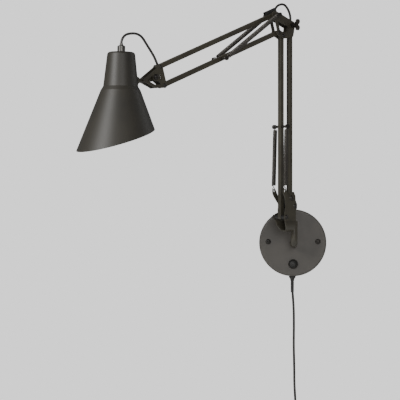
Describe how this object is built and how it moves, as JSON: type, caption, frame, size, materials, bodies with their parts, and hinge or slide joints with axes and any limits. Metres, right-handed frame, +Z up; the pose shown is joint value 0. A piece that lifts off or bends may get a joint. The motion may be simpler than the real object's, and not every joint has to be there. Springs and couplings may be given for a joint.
{
  "type": "swing arm wall lamp",
  "caption": "Wall lamp with a round canopy, a swivelling spring-balanced double parallelogram arm, and a tilting conical metal shade.",
  "frame": {"origin": "on the wall, at the centre of the canopy's back", "axes": "+X right along the wall, +Y into the wall, +Z up"},
  "size_m": [0.4318, 0.3416, 0.8232],
  "materials": {
    "frame_paint": "satin powder coat, warm black",
    "shade_paint": "satin powder coat, warm black outside, paler inside",
    "canopy_paint": "matt powder coat, dark warm grey",
    "dark_fixings": "black oxide",
    "zinc_steel": "zinc plated",
    "spring_steel": "oiled dark spring wire",
    "black_plastic": "fine grain",
    "white_plastic": "plain",
    "bush_plastic": "nylon",
    "cord_sheath": "flexible round PVC sheath",
    "gland_aluminium": "satin turned",
    "lamp_cap_metal": "plain",
    "lamp_opal": "opal diffuser",
    "blade_brass": "plain"
  },
  "bodies": {
    "wall_unit": {"wall_strap": "zinc_steel", "canopy": "canopy_paint", "canopy_screws": "dark_fixings", "wall_tube": "frame_paint", "canopy_nuts": "zinc_steel", "switch_bezel": "dark_fixings", "switch_case": "black_plastic", "terminal_block": "white_plastic", "strain_relief": "black_plastic", "mains_cord": "cord_sheath", "cord_coil": "cord_sheath", "coil_tie": "black_plastic", "plug_body": "black_plastic", "plug_blades": "blade_brass"},
    "button": {"switch_button": "black_plastic"},
    "fork": {"fork_stirrup": "frame_paint", "fork_plate_near": "frame_paint", "fork_plate_far": "frame_paint", "swivel_hub": "frame_paint", "swivel_pin": "dark_fixings", "fork_bolts": "dark_fixings", "fork_spacers": "black_plastic"},
    "front_bar": {"lower_front_bar": "frame_paint", "lower_front_bushes": "bush_plastic", "lower_spring_pin": "dark_fixings"},
    "rear_bar": {"lower_rear_bar": "frame_paint", "lower_rear_bushes": "bush_plastic", "elbow_lead_rear": "cord_sheath"},
    "lower_springs": {"lower_spring_near": "spring_steel", "lower_spring_far": "spring_steel"},
    "lower_hooks": {"lower_spring_hooks": "spring_steel"},
    "elbow": {"elbow_plate_near": "frame_paint", "elbow_plate_far": "frame_paint", "elbow_rivets": "dark_fixings", "elbow_spring_pin": "dark_fixings", "elbow_clamp_bolt": "dark_fixings"},
    "wing": {"wing_screw": "dark_fixings"},
    "top_bar": {"upper_top_bar": "frame_paint", "upper_top_bushes": "bush_plastic", "lead_clip": "black_plastic", "elbow_lead_front": "cord_sheath", "head_lead_rear": "cord_sheath"},
    "bottom_bar": {"upper_bottom_bar": "frame_paint", "upper_bottom_bushes": "bush_plastic", "upper_spring_pin": "dark_fixings"},
    "upper_springs": {"upper_spring_near": "spring_steel", "upper_spring_far": "spring_steel"},
    "upper_eyes": {"upper_spring_hooks": "spring_steel"},
    "head": {"head_plate_near": "frame_paint", "head_plate_far": "frame_paint", "head_rivets": "dark_fixings", "tilt_bolt": "dark_fixings"},
    "shade_unit": {"shade": "shade_paint", "tilt_tongue": "frame_paint", "stub_nut": "dark_fixings", "cord_gland": "gland_aluminium", "lamp_holder": "black_plastic", "lamp_cap": "lamp_cap_metal", "lamp_globe": "lamp_opal", "head_lead_front": "cord_sheath"}
  },
  "joints": [
    {"name": "base_swivel", "type": "hinge", "parent": "wall_unit", "child": "fork", "pos_m": [0, -0.062, 0.03], "axis": [0, 0, 1], "range_deg": [-25, 135]},
    {"name": "lower_tilt", "type": "hinge", "parent": "fork", "child": "front_bar", "pos_m": [-0.02416, -0.07892, 0.0467], "axis": [0.5736, -0.8192, 0], "range_deg": [0, 60]},
    {"name": "rear_link", "type": "hinge", "parent": "fork", "child": "rear_bar", "pos_m": [-0.00844, -0.06791, 0.0657], "axis": [0.5736, -0.8192, 0], "range_deg": [0, 60]},
    {"name": "elbow_level", "type": "hinge", "parent": "rear_bar", "child": "elbow", "pos_m": [-0.00844, -0.06791, 0.3847], "axis": [0.5736, -0.8192, 0], "range_deg": [-60, 0], "deforming": ["elbow_lead_rear"]},
    {"name": "upper_tilt", "type": "hinge", "parent": "elbow", "child": "top_bar", "pos_m": [-0.03916, -0.08942, 0.4011], "axis": [0.5736, -0.8192, 0], "range_deg": [-30, 30], "deforming": ["elbow_lead_front"]},
    {"name": "bottom_link", "type": "hinge", "parent": "elbow", "child": "bottom_bar", "pos_m": [-0.03232, -0.08463, 0.37025], "axis": [0.5736, -0.8192, 0], "range_deg": [-30, 30]},
    {"name": "head_level", "type": "hinge", "parent": "top_bar", "child": "head", "pos_m": [-0.23729, -0.22815, 0.30041], "axis": [0.5736, -0.8192, 0], "range_deg": [-30, 30], "deforming": ["head_lead_rear"]},
    {"name": "head_tilt", "type": "hinge", "parent": "head", "child": "shade_unit", "pos_m": [-0.24491, -0.23349, 0.28302], "axis": [0.5736, -0.8192, 0], "range_deg": [-45, 60], "deforming": ["head_lead_front"]},
    {"name": "switch_press", "type": "slide", "parent": "wall_unit", "child": "button", "axis": [0, 1, 0], "range_m": [0, 0.0025], "stiffness_N_per_m": 700, "springref_m": -0.0008},
    {"name": "wing_turn", "type": "hinge", "parent": "elbow", "child": "wing", "pos_m": [-0.00844, -0.06791, 0.3847], "axis": [0.5736, -0.8192, 0], "range_deg": [-90, 90]},
    {"name": "lower_spring_turn", "type": "hinge", "parent": "front_bar", "child": "lower_springs", "pos_m": [-0.02416, -0.07892, 0.2057], "axis": [0.5736, -0.8192, 0], "range_deg": [0, 18.85]},
    {"name": "lower_spring_stretch", "type": "slide", "parent": "lower_springs", "child": "lower_hooks", "axis": [-0.026, -0.0182, -0.9995], "range_m": [0, 0.02726], "deforming": ["lower_spring_near", "lower_spring_far", "lower_spring_hooks"]},
    {"name": "upper_spring_turn", "type": "hinge", "parent": "elbow", "child": "upper_springs", "pos_m": [-0.03916, -0.08942, 0.4011], "axis": [0.5736, -0.8192, 0], "range_deg": [-27.82, 27.82]},
    {"name": "upper_spring_stretch", "type": "slide", "parent": "upper_springs", "child": "upper_eyes", "axis": [-0.6647, -0.4654, -0.5844], "range_m": [-0.01511, 0.01511], "deforming": ["upper_spring_near", "upper_spring_far", "upper_spring_hooks"]}
  ],
  "couplings": [
    {"joint": "rear_link", "follows": "lower_tilt", "ratio": 1},
    {"joint": "elbow_level", "follows": "lower_tilt", "ratio": -1},
    {"joint": "bottom_link", "follows": "upper_tilt", "ratio": 1},
    {"joint": "head_level", "follows": "upper_tilt", "ratio": -1},
    {"joint": "lower_spring_turn", "follows": "lower_tilt", "ratio": 0.3142},
    {"joint": "lower_spring_stretch", "follows": "lower_tilt", "m_per_rad": 0.02603},
    {"joint": "upper_spring_turn", "follows": "upper_tilt", "ratio": 0.9272},
    {"joint": "upper_spring_stretch", "follows": "upper_tilt", "m_per_rad": 0.02885}
  ]
}
